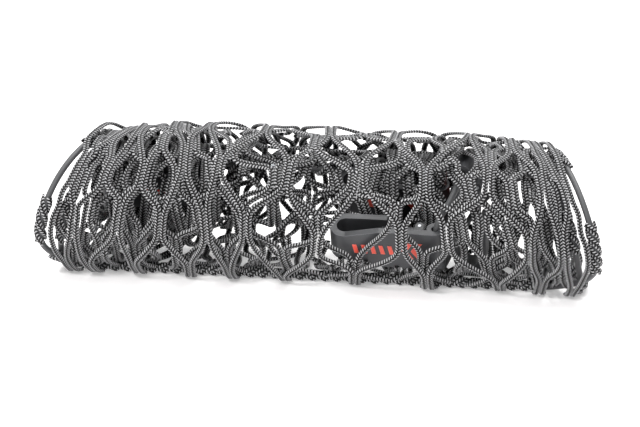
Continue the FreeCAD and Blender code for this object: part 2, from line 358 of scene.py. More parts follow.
@dataclass
class Roll:
    """The sheet's place when it is rolled up: half turns that meet on one sloping line.

    Lengths are in millimetres. Angles run on round the roll in degrees, 0 at the front
    and 90 at the top, from the sheet's outer edge to its inner one.
    """

    half_length: float = 197.0
    thickness: float = 3.0
    edge_angle: float = -62.0
    line_angle: float = -30.0
    # the ply's distance from the axis each time it crosses the line
    crossings: tuple[float, ...] = (59.5, 57.5, 53.5, 53.0, 14.0, 48.0, 9.0, 43.0)
    end_lean: float = 0.24
    axis_height: float = 56.0
    # the ends bulge at mid height, tuck in near the floor and are drawn in all round
    bulge: float = 12.0
    bulge_angle: float = 22.0
    tuck: float = 3.4
    drawn_in: float = 8.5
    most_drawn: float = 9.4
    # the slack ends sink a little: where it starts along the roll, and over what length
    tuck_below: float = 45.0
    slump: float = 0.087
    slump_left: Pair = (-95.0, 110.0)
    slump_right: Pair = (125.0, 85.0)

    @property
    def outer_end(self) -> float:
        """Running angle where the full-width plies stop."""
        return self.line_angle + 3.0 * HALF_TURN

    @property
    def inner_end(self) -> float:
        """Running angle of the sheet's inner edge."""
        return self.line_angle + HALF_TURN * (len(self.crossings) - 1)

    @property
    def second_start(self) -> float:
        """Running angle where the turn below the outer one begins."""
        return self.outer_end - HALF_TURN

    def turn_number(self, angle: float) -> int:
        """Which half turn a running angle lies on."""
        return min(max(int((angle - self.line_angle) // HALF_TURN), 0), len(self.crossings) - 2)

    def half_turn(self, index: int) -> tuple[np.ndarray, float]:
        """Centre in the section and radius of one half turn.

        Args:
            index: the crossing at which the half turn starts.

        Returns:
            The centre's y and z, and the radius, all in millimetres.
        """
        near, far = self.crossings[index], self.crossings[index + 1]
        side = 1.0 if index % 2 == 0 else -1.0
        line = math.radians(self.line_angle)
        centre = np.array([-math.cos(line), math.sin(line)]) * side * (near - far) / 2.0
        return centre + np.array([0.0, self.axis_height]), (near + far) / 2.0

    def section(self, angle: float, inset: float = 0.0) -> np.ndarray:
        """A point on the ply's middle, moved inwards by inset.

        Args:
            angle: running angle in degrees, 0 at the front and 90 at the top.
            inset: how far inside the ply's middle, in millimetres.

        Returns:
            The point's y and z in millimetres.
        """
        centre, radius = self.half_turn(self.turn_number(angle))
        return centre + outward(angle) * (radius - inset)

    def end_x(self, y: float, z: float, side: float) -> float:
        """Where the leaning end of the roll lies at a place in its section."""
        return side * (self.half_length - self.end_lean * (y + z - self.axis_height))

    def unroll_table(self, step: float = 0.5) -> tuple[np.ndarray, np.ndarray]:
        """Running angles and the sheet length used up at each.

        Args:
            step: spacing of the angles in degrees.

        Returns:
            The angles in degrees and the lengths in millimetres.
        """
        angles = np.arange(self.edge_angle, self.inner_end + step / 2.0, step)
        return angles, run_of(np.array([self.section(a) for a in angles]))

    def outer_share(self, angle: float) -> float:
        """1 on the outer turn, falling to 0 over its last half turn."""
        return min(max((self.second_start - angle) / HALF_TURN, 0.0), 1.0)

    def end_shift(self, angle: float, z: float, side: float) -> float:
        """How far the end of the roll bulges at mid height and tucks in near the floor.

        Args:
            angle: running angle in degrees.
            z: height above the floor.
            side: which end.

        Returns:
            The shift along X in millimetres.
        """
        out = self.bulge * self.outer_share(angle)
        out *= max(math.cos(math.radians(angle - self.bulge_angle)), 0.0)
        tucked = self.tuck * smooth_step((self.tuck_below - z) / self.tuck_below)
        return side * max(out - tucked - self.drawn_in, -self.most_drawn)

    def settle(self, x: float, z: float) -> float:
        """Lowers the slack ends of the roll a little.

        Args:
            x: place along the roll.
            z: height above the floor.

        Returns:
            The settled height.
        """
        left = (self.slump_left[0] - x) / self.slump_left[1]
        right = (x - self.slump_right[0]) / self.slump_right[1]
        return z * (1.0 - self.slump * smooth_step(max(left, right)))


# ------------ rim cord


@dataclass
class RimCord:
    """The 5 mm shock cord round the sheet's rim, made first because the net hangs on it."""

    roll: Roll
    diameter: float = 5.0
    clearance: float = 0.3
    # how far it sits below the outer face at the ends, and presses into the ply it lies on
    tuck: float = 0.4
    press: float = 0.4
    # degrees between the route's points round the ends, and the first turn's extra reach
    rim_step: float = 30.0
    rim_proud: float = 5.0
    # beside the bunched inner plies: where it lies, and how far it drifts on the way
    inner_rim_x: float = -187.0
    inner_rim_drift: float = 7.0
    inner_rim_inset: float = 1.0
    inner_rim_stop: float = 330.0
    # degrees by which it lies past the sheet's outer and inner edges
    edge_lead: float = 2.6
    core_lead: float = 10.0
    ferrule_x: float = -40.0
    ferrule_half_gap: float = 0.5
    # the outer edge's stretch that moves with the leaning ends
    end_from: float = 130.0
    end_over: float = 65.0
    # the way through a hook's eye and out below it: y and z from the roll's axis
    eye_way: tuple[Pair, ...] = (
        (38.5, 20.5), (34.0, 34.5), (22.0, 43.5), (7.6, 46.9), (-1.4, 39.4), (-3.4, 27.9),
        (22.1, -16.3), (31.5, -20.2), (41.3, -17.6))
    sides: int = 16
    ring_step: float = 1.6
    line: np.ndarray = field(default_factory=lambda: np.zeros((0, 3)))

    @property
    def corner_share(self) -> float:
        """How much further out a route corner lies than the arc it stands for."""
        return 1.0 / math.cos(math.radians(self.rim_step / 2.0))

    def at(self, x: float, y: float, z: float) -> Point:
        """A point given by its place in the roll's section, from the roll's axis."""
        return x, y, self.roll.axis_height + z

    def corner(self, angle: float, inset: float) -> np.ndarray:
        """A route corner's y and z, for an arc that lies inset inside the ply's middle."""
        centre, radius = self.roll.half_turn(self.roll.turn_number(angle))
        return centre + outward(angle) * (radius - inset) * self.corner_share

    def rim_point(self, angle: float, side: float) -> Point:
        """A route point on a leaning end of the full-width plies."""
        roll = self.roll
        y, z = self.corner(angle, (self.diameter - roll.thickness) / 2.0 + self.tuck)
        gap = self.diameter / 2.0 + self.clearance + self.rim_proud * roll.outer_share(angle)
        x = roll.end_x(y, z, side) + side * gap
        return x + roll.end_shift(angle, z, side), y, roll.settle(x, z)

    def inner_edge(self, x: float, dy: float, dz: float) -> Point:
        """A point of the cord along the sheet's inner edge."""
        centre, radius = self.roll.half_turn(len(self.roll.crossings) - 2)
        y, z = centre + outward(self.roll.inner_end + self.core_lead) * (radius - self.inner_rim_inset)
        return x, y + dy, z + dz

    def outer_edge(self, x: float, lift: float) -> Point:
        """A point of the cord along the sheet's outer edge."""
        roll = self.roll
        centre, radius = roll.half_turn(1)
        reach = radius + (roll.thickness + self.diameter) / 2.0 - self.press + lift
        y, z = centre + outward(roll.edge_angle - self.edge_lead) * reach
        near_end = smooth_step((abs(x) - self.end_from) / self.end_over)
        shift = roll.end_shift(roll.edge_angle, z, math.copysign(1.0, x))
        return x + shift * near_end, y, z

    def through_eye(self, places: tuple[float, ...]) -> list[Point]:
        """The cord's way through a hook's eye, at the given places along the roll."""
        return [self.at(x, y, z) for x, (y, z) in zip(places, self.eye_way)]

    def route(self) -> list[Point]:
        """The cord's route, from one side of the ferrule round to the other.

        It runs along the inner edge, through the right hooks' eyes, round the right end,
        back along the outer edge, round the left end and through the left hook's eye.
        """
        roll, at = self.roll, self.at
        points = [
            self.inner_edge(self.ferrule_x + self.ferrule_half_gap, 0.0, 0.0),
            self.inner_edge(20.0, -0.5, -0.8),
            self.inner_edge(62.0, 0.3, 0.4),
            *self.through_eye((84.0, 94.0, 95.0, 94.0, 92.5, 92.0, 92.0, 92.5, 94.0)),
            at(97.0, 47.3, -9.0), at(101.0, 47.5, 5.0), at(107.0, 43.0, 20.0),
            at(111.0, 28.0, 38.0), at(111.0, -28.0, 38.0), at(104.0, -43.0, 21.0),
            at(93.0, -47.2, 5.4), at(93.0, -25.7, -40.7), at(95.0, -5.0, -47.5),
            at(98.0, 19.0, -43.5), at(107.0, 38.5, -28.0), at(120.0, 47.0, -7.0),
            at(142.0, 46.5, 11.0), at(165.0, 43.5, 19.0), at(180.5, 35.0, 31.5),
        ]
        ends = np.arange(roll.outer_end, roll.edge_angle + self.rim_step, -self.rim_step)
        points += [self.rim_point(angle, Side.RIGHT.value) for angle in ends[1:]]
        points += [self.outer_edge(x, lift) for x, lift in (
            (195.0, 0.1), (160.0, 0.0), (104.0, 0.2), (42.0, 0.0),
            (-20.0, 0.15), (-84.0, 0.0), (-146.0, 0.2), (-195.0, 0.1))]
        points += [self.rim_point(angle, Side.LEFT.value) for angle in ends[::-1]]
        last = roll.inner_end - self.inner_rim_stop
        for angle in np.arange(roll.outer_end + self.rim_step, last + 1.0, self.rim_step):
            share = (angle - roll.outer_end) / (last - roll.outer_end)
            y, z = self.corner(angle, self.inner_rim_inset)
            points.append((self.inner_rim_x + self.inner_rim_drift * share, y, z))
        points += [
            at(-179.5, 47.5, -8.5),
            *self.through_eye((-171.0, -181.0, -182.0, -181.0, -179.5) + (-179.0,) * 4)[::-1],
            self.inner_edge(-146.0, 0.2, 0.3),
            self.inner_edge(-100.0, -0.4, -0.6),
            self.inner_edge(self.ferrule_x - self.ferrule_half_gap, 0.0, 0.0),
        ]
        return points

    def smooth_line(self) -> np.ndarray:
        """Reads the points of one smooth spline that has the route as its control points."""
        route = self.route()
        curve = bpy.data.curves.new("rim_route", "CURVE")
        curve.dimensions = "3D"
        spline = curve.splines.new("NURBS")
        spline.points.add(len(route) - 1)
        for point, place in zip(spline.points, route):
            point.co = (place[0] * MM, place[1] * MM, place[2] * MM, 1.0)
        spline.order_u = 3
        spline.use_endpoint_u = True
        spline.resolution_u = 12
        guide = in_scene("rim_route", curve)
        settled = guide.evaluated_get(bpy.context.evaluated_depsgraph_get())
        mesh = bpy.data.meshes.new_from_object(settled)
        line = np.array([v.co[:] for v in mesh.vertices])
        bpy.data.objects.remove(guide)
        bpy.data.meshes.remove(mesh)
        return line

    def build(self, finish: Material) -> None:
        """Makes the cord as a tube along its spline, and logs its real length.

        Args:
            finish: the cover's material.
        """
        self.line = self.smooth_line()
        length = float(run_of(self.line)[-1])
        even = resample(self.line, self.ring_step * MM)
        turns = np.linspace(0.0, 2.0 * math.pi, self.sides, endpoint=False)
        tube = strand_mesh("rim_shock_cord", [even], oval_section(turns, self.diameter, self.diameter),
                           uv_name="cord")
        tube.data.materials.append(finish)
        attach(tube, NET_BODY)
        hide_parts("rim_cord")
        start = self.line[0]
        tuple(float(v) for v in start)
        log.info("rim cord %.3f m", length)


# ------------ strands


def resample(line: np.ndarray, step: float, columns: int = 3) -> np.ndarray:
    """Spaces the points of a line evenly and carries all its columns along.

    Args:
        line: points in order, with any further columns.
        step: the wanted spacing.
        columns: how many of the first columns the spacing is counted in.

    Returns:
        Evenly spaced points, ends included.
    """
    run = run_of(line, columns)
    wanted = np.linspace(0.0, run[-1], max(int(round(run[-1] / step)), 2) + 1)
    return np.stack([np.interp(wanted, run, line[:, k]) for k in range(line.shape[1])], axis=1)


def oval_section(turns: np.ndarray, width: float, depth: float) -> np.ndarray:
    """Points of an oval at given turns, as across and outward offsets in metres."""
    return np.stack([np.cos(turns) * width * MM / 2.0, np.sin(turns) * depth * MM / 2.0], axis=1)


def strand_frames(points: np.ndarray, normals: np.ndarray | None) -> tuple[np.ndarray, np.ndarray]:
    """Unit directions across and out of the sheet at each point of a strand.

    Args:
        points: the strand's line.
        normals: wanted outward directions, or None for a frame carried along the line.

    Returns:
        The across directions and the outward directions.
    """
    tangents = np.gradient(points, axis=0)
    tangents /= np.linalg.norm(tangents, axis=1, keepdims=True) + 1e-12
    if normals is None:
        normals = np.zeros_like(points)
        seed = np.array([0.0, 0.0, 1.0]) if abs(tangents[0][2]) < 0.9 else np.array([0.0, 1.0, 0.0])
        for i, tangent in enumerate(tangents):
            seed = seed - tangent * float(seed @ tangent)
            seed = seed / np.linalg.norm(seed)
            normals[i] = seed
    across = np.cross(tangents, normals)
    across /= np.linalg.norm(across, axis=1, keepdims=True) + 1e-12
    out = np.cross(across, tangents)
    return across, out


def ring_quads(base: int, count: int, sides: int) -> np.ndarray:
    """Faces between neighbouring rings of one strand whose first point is number base."""
    i = np.arange(count - 1)[:, None] * sides
    j = np.arange(sides)[None, :]
    beside = (j + 1) % sides
    corners = [i + j, i + beside, i + sides + beside, i + sides + j]
    return base + np.stack(corners, axis=2).reshape(-1, 4)


def ring_uv(run: np.ndarray, sides: int) -> np.ndarray:
    """UV of the same faces' corners: metres along the strand, and turns round it."""
    near = np.repeat(run[:-1, None], sides, axis=1)
    far = np.repeat(run[1:, None], sides, axis=1)
    low = np.repeat(np.arange(sides)[None, :] / sides, len(run) - 1, axis=0)
    high = low + 1.0 / sides
    corners = [np.stack(pair, axis=2) for pair in ((near, low), (near, high), (far, high), (far, low))]
    return np.stack(corners, axis=2).reshape(-1, 2)


def strand_mesh(name: str, lines: list[np.ndarray], section: np.ndarray,
                shape: "StitchShape | None" = None, normals: list[np.ndarray] | None = None,
                uv_name: str = "strand") -> bpy.types.Object:
    """Builds one object from closed strands that follow the given lines.

    Args:
        name: the object's name.
        lines: each strand's points, in metres.
        section: across and outward offsets of one ring.
        shape: how the knit swells each ring, or None for a plain strand.
        normals: outward directions for each strand, or None.
        uv_name: name of the UV map.

    Returns:
        The new object.
    """
    sides = len(section)
    verts, quads, ends, uvs, heights = [], [], [], [], []
    base = 0
    for number, line in enumerate(lines):
        across, out = strand_frames(line, normals[number] if normals else None)
        count = len(line)
        run = run_of(line)
        if shape:
            rings, height = shape.rings(section, run)
        else:
            rings, height = np.repeat(section[None, :, :], count, axis=0), np.ones((count, sides))
        aside = across[:, None, :] * rings[:, :, :1] + out[:, None, :] * rings[:, :, 1:]
        verts.append((line[:, None, :] + aside).reshape(-1, 3))
        heights.append(height.ravel())
        quads += ring_quads(base, count, sides).tolist()
        uvs.append(ring_uv(run, sides))
        ends.append(list(range(base + sides - 1, base - 1, -1)))
        base += count * sides
        ends.append(list(range(base - sides, base)))
    uvs.append(np.zeros((len(ends) * sides, 2)))
    mesh = bpy.data.meshes.new(name)
    mesh.from_pydata(np.concatenate(verts).tolist(), [], quads + ends)
    layer = mesh.uv_layers.new(name=uv_name)
    layer.data.foreach_set("uv", np.concatenate(uvs).astype(np.float32).ravel())
    # the stitch height, which the yarn's material turns into painted highlights and painted shade
    attribute = mesh.attributes.new("stitch", "FLOAT", "POINT")
    attribute.data.foreach_set("value", np.concatenate(heights).astype(np.float32))
    mesh.polygons.foreach_set("use_smooth", [True] * len(mesh.polygons))
    mesh.update()
    return in_scene(name, mesh)


@dataclass(frozen=True)
class StitchShape:
    """The chain stitch of the knitted cord: two ridges of slanting grains and a groove between.

    The real stitch is probably nearer 2 mm long. It is drawn at 2.5 mm, so that it shows.
    """

    pitch: float = 2.5 * MM
    # shares of the ring's depth and width that are lost between stitches
    swell: float = 0.38
    squeeze: float = 0.16
    # the groove's depth, half width and painted shade (how far its colour is darkened), as shares
    groove: float = 0.42
    groove_width: float = 0.2
    groove_shade: float = 0.95
    slant: float = 0.5

    def rings(self, section: np.ndarray, run: np.ndarray) -> tuple[np.ndarray, np.ndarray]:
        """Shapes each ring of a strand.

        Args:
            section: across and outward offsets of the plain ring.
            run: length along the strand at each ring.

        Returns:
            The shaped rings and the stitch height, 0 to 1, at each of their points, from which the
            yarn's painted highlights and painted shade are drawn.
        """
        across = section[:, 0] / np.abs(section[:, 0]).max()
        phase = run[:, None] / self.pitch - self.slant * np.abs(across)[None, :]
        phase = phase + 0.5 * (across > 0.0)[None, :]
        wave = 0.5 + 0.5 * np.cos(2.0 * math.pi * phase)
        middle = np.exp(-(across / self.groove_width) ** 2)[None, :]
        # the height is darkened in the groove: painted shade carried into the yarn's colour
        height = wave * (1.0 - self.groove_shade * middle)
        rings = np.repeat(section[None, :, :], len(run), axis=0)
        rings[:, :, 1] *= 1.0 - self.swell * (1.0 - wave) - self.groove * middle
        rings[:, :, 0] *= 1.0 - self.squeeze * (1.0 - wave)
        return rings, height


# ------------ the net


@dataclass(frozen=True)
class Ripple:
    """A slow wave over the flat sheet: millimetres high, radians per millimetre and per cord."""

    height: float
    along: float
    across: float

    def at(self, along: float, boundary: float) -> float:
        """The wave's height at a place on the sheet."""
        return self.height * math.sin(along * self.along + boundary * self.across)


@dataclass(frozen=True)
class Pleat:
    """Slack net just inside a ply: its span along the roll, cords, depth and angles."""

    span: Pair
    wales: int
    depth: float
    turn: Pair
    fold: Ripple = Ripple(1.2, 0.11, 1.0)
    scatter: float = 3.0
    knot_offset: float = 2.3
    cross_share: float = 0.62
    steps: int = 24

    @property
    def pitch(self) -> float:
        """Distance between neighbouring lines of knots."""
        return (self.span[1] - self.span[0]) / self.wales


@dataclass
class NetSheet:
    """The knitted sheet: zigzag cords that meet their neighbours in two-cord bars.

    A place on the flat sheet is a line of knots, counted from the left, and millimetres
    from the outer edge. The cords are worked out there and then laid on the roll.
    """

    roll: Roll
    rim: RimCord
    row: float = 47.0
    first_row: float = 14.0
    bar: float = 17.0
    cord_width: float = 5.0
    cord_depth: float = 3.3
    # turns of the ring's points in degrees: closer together on the side that shows
    ring_turns: tuple[float, ...] = (
        16.0, 46.0, 74.0, 90.0, 106.0, 134.0, 164.0, 195.0, 233.0, 270.0, 307.0, 345.0)
    ring_step: float = 0.6
    point_step: float = 1.2
    leg_slack: float = 8.0
    edge_gap: float = 0.3
    rounding: int = 34
    turn_weight: float = 60.0
    seed: int = 11
    pieces: int = 11
    # places of the lines of knots along the roll: on the outer turn, on the turn below it
    # and on the bunched inner plies
    outer_places: tuple[float, ...] = (
        -200.0, -193.0, -184.0, -173.0, -158.0, -141.0, -124.0, -107.0, -90.0, -72.0, -52.0, -26.0,
        2.0, 32.0, 62.0, 87.0, 112.0, 137.0, 161.0, 173.0, 184.0, 193.0, 200.0)
    middle_places: tuple[float, ...] = (
        -200.0, -194.0, -186.0, -177.0, -165.0, -152.0, -138.0, -124.0, -109.0, -93.0, -70.0, -40.0,
        -8.0, 28.0, 60.0, 84.0, 104.0, 122.0, 140.0, 158.0, 175.0, 189.0, 200.0)
    inner_places: tuple[float, ...] = (
        -171.0, -165.0, -157.0, -150.0, -142.0, -134.0, -126.0, -118.0, -109.0, -100.0, -88.0, -66.0,
        -42.0, -16.0, 10.0, 33.0, 46.0, 53.0, 60.0, 66.0, 72.0, 78.0, 84.0)
    place_reach: float = 200.0
    # running angles over which the places pass from one list to the next
    bunch_from: float = 300.0
    bunch_over: float = 190.0
    narrow_lead: float = 20.0
    narrow_over: float = 75.0
    # the slack inner rows: their length, where they start, and how much more they bow
    slack_row: float = 27.0
    slack_from: float = 330.0
    slack_over: float = 120.0
    slack_bow: float = 3.0
    # how far the outer turn stands out, the second is lifted, and how deep any may sink
    proud: float = 4.2
    lifted: float = 7.6
    deepest: float = -0.3
    # the third turn and the core swell towards the front, between two places
    swell: Pair = (22.0, 12.0)
    swell_left: Pair = (-178.0, 30.0)
    swell_right: Pair = (-5.0, 40.0)
    drift: Ripple = Ripple(4.0, 0.031, 0.9)
    lift: Ripple = Ripple(1.1, 0.083, 2.1)
    inner_drift: Ripple = Ripple(5.0, 0.052, 1.7)
    inner_lift: Ripple = Ripple(1.6, 0.071, 2.9)
    # scatter of the knots and legs, in millimetres: spreads, or lowest and highest
    scatter_across: float = 3.0
    scatter_along: float = 4.0
    scatter_out: Pair = (-1.2, 0.6)
    scatter_bar: Pair = (-4.0, 5.0)
    scatter_bow: float = 2.2
    scatter_sag: Pair = (-1.8, 0.6)
    # a bar's cords lie side by side; those at the rim reach out to it
    side_by_side: float = 0.48
    edge_out: float = 2.2
    edge_reach: float = 4.5
    floor_gap: float = 0.2
    wrap_reach: float = 0.42
    wrap_floor: float = 0.52
    # windings on the rim: step along it, covered lengths and lays (one turn's advance)
    wind_step: float = 0.4
    bar_wind: Pair = (34.0, 54.0)
    bar_lay: Pair = (28.0, 38.0)
    inner_wind: float = 20.0
    inner_lay: float = 24.0
    inner_clear: float = 10.0
    scatter_inner: float = 0.12
    sleeve_lay: float = 30.0
    pleats: tuple[Pleat, ...] = (
        Pleat((102.0, 196.0), 7, 2.6, (98.0, 500.0)),
        Pleat((102.0, 196.0), 7, 4.6, (155.0, 500.0)),
        Pleat((-190.0, -20.0), 15, 2.4, (96.0, 322.0)),
        Pleat((-20.0, 104.0), 11, 2.4, (96.0, 152.0)),
        Pleat((-20.0, 104.0), 11, 2.4, (236.0, 300.0)),
        Pleat((-194.0, -122.0), 6, 2.0, (152.0, 498.0)))

    def __post_init__(self) -> None:
        """Prepares the unrolling table and the scatter of the mesh's knots."""
        self.angles, self.lengths = self.roll.unroll_table()
        self.wales = len(self.outer_places) - 1
        self.loose = self.length_at(self.slack_from)
        self.row_places = self.row_table()
        self.rows = len(self.row_places) - 1
        draw = np.random.default_rng(self.seed)
        knots = (self.wales + 1, self.rows + 1)
        legs = (self.wales, self.rows + 1)
        self.shift_across = draw.normal(0.0, self.scatter_across, knots)
        self.shift_along = draw.normal(0.0, self.scatter_along, knots)
        self.shift_out = draw.uniform(*self.scatter_out, knots)
        self.bar_lengths = draw.uniform(*self.scatter_bar, knots)
        self.bow = draw.normal(0.0, self.scatter_bow, legs)
        self.sag = draw.uniform(*self.scatter_sag, legs)

    def length_at(self, angle: float) -> float:
        """Millimetres from the sheet's outer edge at a running angle."""
        return float(np.interp(angle, self.angles, self.lengths))

    def angle_at(self, along: float) -> float:
        """Running angle at a distance from the sheet's outer edge."""
        return float(np.interp(along, self.lengths, self.angles))

    def row_table(self) -> list[float]:
        """Places of the rows of bars along the sheet: stretched outside, slack inside."""
        places = [self.first_row]
        while places[-1] < self.lengths[-1]:
            share = smooth_step((places[-1] - self.loose + self.slack_over / 2.0) / self.slack_over)
            places.append(places[-1] + self.row + (self.slack_row - self.row) * share)
        return places

    def place(self, boundary: float, angle: float) -> float:
        """Where a line of knots lies along the roll.

        Args:
            boundary: the line's number from the left, whole or between two lines.
            angle: running angle in degrees.

        Returns:
            The place along the roll in millimetres.
        """
        count = np.arange(self.wales + 1)
        outer, middle, inner = (float(np.interp(boundary, count, places)) for places in (
            self.outer_places, self.middle_places, self.inner_places))
        lower = smooth_step((angle - self.bunch_from) / self.bunch_over)
        bunched = smooth_step((angle - self.roll.outer_end + self.narrow_lead) / self.narrow_over)
        wide = outer + (middle - outer) * lower
        y, z = self.roll.section(angle)
        reach = self.roll.end_x(y, z, 1.0) - 0.5 + self.roll.end_shift(angle, z, 1.0)
        wide += (reach - self.place_reach) * (wide / self.place_reach) ** 3
        return wide + (inner - wide) * bunched

    def swelling(self, x: float, angle: float) -> float:
        """How far the inner plies swell towards the front, in millimetres."""
        third = angle < self.roll.outer_end + 2.0 * HALF_TURN
        facing = max(math.cos(math.radians(angle - self.roll.line_angle)), 0.0)
        right = smooth_step((self.swell_right[0] - x) / self.swell_right[1])
        left = smooth_step((x - self.swell_left[0]) / self.swell_left[1])
        return self.swell[0 if third else 1] * facing * right * left

    def surface(self, boundary: float, along: float, out: float) -> tuple[list[float], list[float]]:
        """Maps a place on the flat sheet onto the roll.

        Args:
            boundary: the place across the sheet, counted in lines of knots from the left.
            along: distance from the sheet's outer edge, in millimetres.
            out: distance outside the ply's middle, in millimetres.

        Returns:
            The point in millimetres and the outward direction there.
        """
        roll = self.roll
        angle = self.angle_at(along)
        x = self.place(boundary, angle)
        x += self.drift.at(along, boundary) * (1.0 - min(abs(x) / self.place_reach, 1.0) ** 4)
        out += self.lift.at(along, boundary)
        if angle < roll.second_start:
            out += self.proud
        elif angle < roll.outer_end:
            out += self.lifted * math.sin(math.radians(angle - roll.line_angle))
        elif angle > roll.outer_end:
            x += self.inner_drift.at(along, boundary)
            out += self.inner_lift.at(along, boundary) + self.swelling(x, angle)
        if angle >= roll.second_start:
            out = max(out, self.deepest)
        y, z = roll.section(angle, -out)
        z = max(roll.settle(x, z), self.cord_depth * 0.5 + self.floor_gap)
        return [x, y, z], [0.0, *outward(angle)]

    def knots(self, index: int) -> list[tuple[float, float, float, float, float]]:
        """Both ends of every bar that one cord passes through.

        Args:
            index: the cord's number from the left.

        Returns:
            For each knot its place across in lines, its side offset in millimetres, its
            place along, its height out of the ply, and the bow of the leg that follows.
        """
        found = []
        for row in range(self.rows + 1):
            right = (index + row) % 2 == 0
            line = index + 1 if right else index
            side = -1.0 if right else 1.0
            offset = side * self.side_by_side * self.cord_width + self.shift_across[line, row]
            half = (self.bar + self.bar_lengths[line, row]) / 2.0
            middle = self.row_places[row] + self.shift_along[line, row]
            out = self.shift_out[line, row]
            if line in (0, self.wales):
                out += self.edge_out
                offset += math.copysign(self.edge_reach, line - 0.5)
            bow = self.bow[index, row] * (self.slack_bow if middle > self.loose else 1.0)
            found.append((line, offset, middle - half, out, 0.0))
            found.append((line, offset, middle + half, out, bow))
        return found

    def cord_line(self, index: int) -> Strand:
        """The line of one knitted cord over the whole sheet.

        Args:
            index: the cord's number from the left.

        Returns:
            Its points in metres and its outward directions.
        """
        knots = self.knots(index)
        first = knots[0]
        knots.insert(0, (2 * index + 1 - first[0], 0.0, first[2] - self.row + self.bar, 0.0, 0.0))
        points, normals = [], []
        for number, (start, end) in enumerate(zip(knots, knots[1:])):
            run = end[2] - start[2]
            steps = max(int((run + self.leg_slack) / self.point_step), 4)
            for t in np.linspace(0.0, 1.0, steps, endpoint=False):
                along = start[2] + run * t
                if not self.edge_gap < along < self.lengths[-1] - self.edge_gap:
                    continue
                ease = smooth_step(t)
                arch = math.sin(math.pi * t)
                line, offset, _, out, _ = (a + (b - a) * ease for a, b in zip(start, end))
                if start[4]:
                    out += self.sag[index, min(number // 2, self.rows)] * arch
                point, normal = self.surface(line, along, out)
                point[0] += offset + start[4] * arch * (2.0 * t - 1.0)
                points.append(point)
                normals.append(normal)
        return self.rounded(points, normals)

    def pleat_line(self, pleat: Pleat, index: int, draw: np.random.Generator) -> Strand:
        """A cord of the slack net that lies in a pleat.

        Args:
            pleat: the pleat it belongs to.
            index: the cord's number in the pleat.
            draw: the scatter's generator.

        Returns:
            Its points in metres and its outward directions.
        """
        roll = self.roll
        points, normals = [], []
        along, last = (self.length_at(angle) for angle in pleat.turn)
        place = pleat.span[0] + pleat.pitch * (index + 0.5)
        shift = draw.normal(0.0, pleat.scatter, 64)
        row = 0
        while along < last:
            right = (index + row) % 2 == 0
            target = pleat.span[0] + pleat.pitch * (index + (1.0 if right else 0.0))
            target += (-pleat.knot_offset if right else pleat.knot_offset) + shift[row]
            run = self.slack_row * (0.8 + 0.1 * ((row * 7 + index * 3) % 5))
            for t in np.linspace(0.0, 1.0, pleat.steps, endpoint=False):
                x = place + (target - place) * smooth_step(t / pleat.cross_share)
                angle = self.angle_at(along + run * t)
                y, z = roll.section(angle, pleat.depth + pleat.fold.at(along + run * t, index))
                lean = roll.end_lean * (y + z - roll.axis_height) * x * abs(x) / roll.half_length ** 2
                points.append([x - lean, y, max(roll.settle(x, z), self.cord_width * self.wrap_floor)])
                normals.append([0.0, *outward(angle)])
            place = target
            along += run
            row += 1
        return self.rounded(points, normals)

    def rounded(self, points: list, normals: list) -> Strand:
        """Rounds a cord's turns and spaces its rings evenly.

        Args:
            points: the line in millimetres.
            normals: its outward directions.

        Returns:
            The points in metres and the outward directions.
        """
        joined = np.concatenate([np.array(points), self.turn_weight * np.array(normals)], axis=1)
        smooth = resample(joined, 1.0, columns=6)
        for _ in range(self.rounding):
            smooth[1:-1] = (smooth[:-2] + 2.0 * smooth[1:-1] + smooth[2:]) / 4.0
        return self.parted(resample(smooth, self.ring_step), MM)

    @staticmethod
    def parted(joined: np.ndarray, scale: float) -> Strand:
        """Splits a line with directions into scaled points and unit directions."""
        normals = joined[:, 3:]
        return joined[:, :3] * scale, normals / np.linalg.norm(normals, axis=1, keepdims=True)

    def wrap(self, near: list[float], length: float, pitch: float, phase: float) -> Strand:
        """A stretch of knitted cord wound round the rim cord.

        Args:
            near: the place in millimetres whose nearest point on the rim cord is its middle.
            length: how much of the rim cord it covers, in millimetres.
            pitch: advance of each turn, in millimetres.
            phase: where it starts, in radians.

        Returns:
            The winding's points in metres and its outward directions.
        """
        line = self.rim.line
        run = run_of(line)
        middle = run[int(np.argmin(np.linalg.norm(line - np.array(near) * MM, axis=1)))]
        half = length * MM / 2.0
        first, last = max(middle - half, 0.0), min(middle + half, run[-1])
        wanted = np.arange(first, last, self.wind_step * MM)
        core = np.stack([np.interp(wanted, run, line[:, k]) for k in range(3)], axis=1)
        across, out = strand_frames(core, None)
        turn = phase + 2.0 * math.pi * (wanted - wanted[0]) / (pitch * MM)
        radial = across * np.cos(turn)[:, None] + out * np.sin(turn)[:, None]
        points = core + radial * (self.rim.diameter / 2.0 + self.cord_depth * self.wrap_reach) * MM
        points[:, 2] = np.maximum(points[:, 2], self.cord_width * self.wrap_floor * MM)
        return self.parted(resample(np.concatenate([points, radial], axis=1), self.ring_step * MM), 1.0)

    def wraps(self, near: list[float], length: float, pitch: float, strands: int,
              phase: float = 0.0) -> list[Strand]:
        """Several such windings, evenly spaced round the rim cord."""
        step = 2.0 * math.pi / strands
        return [self.wrap(near, length, pitch, phase + strand * step) for strand in range(strands)]

